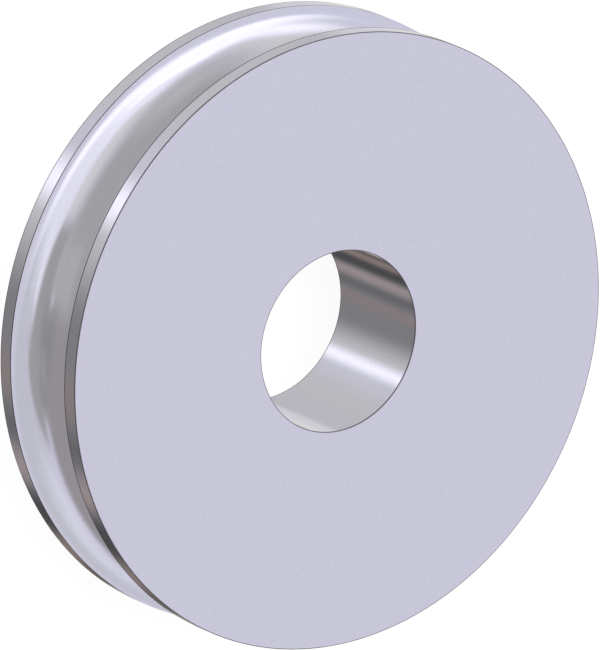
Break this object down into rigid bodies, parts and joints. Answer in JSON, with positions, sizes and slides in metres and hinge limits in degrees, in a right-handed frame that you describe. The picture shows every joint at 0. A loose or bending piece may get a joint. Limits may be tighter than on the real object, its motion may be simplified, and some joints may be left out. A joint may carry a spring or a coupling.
{
  "type": "pulley wheel",
  "caption": "Rope pulley wheel: a flat-sided turned steel disc with a half-round groove round its rim and a plain bore through its centre.",
  "frame": {"origin": "the wheel's centre: on the bore's axis, midway between the two side faces and in the groove's middle plane", "axes": "+Z along the bore's axis and up, with the wheel lying on its lower side face; X and Y are two radii at right angles, and the wheel is the same all round"},
  "size_m": [0.102, 0.102, 0.0212],
  "materials": {
    "turned_steel": "bare turned steel: fine satin side faces, brighter polished lands, groove and bore"
  },
  "bodies": {
    "root": {"pulley_wheel": "turned_steel"}
  },
  "joints": []
}
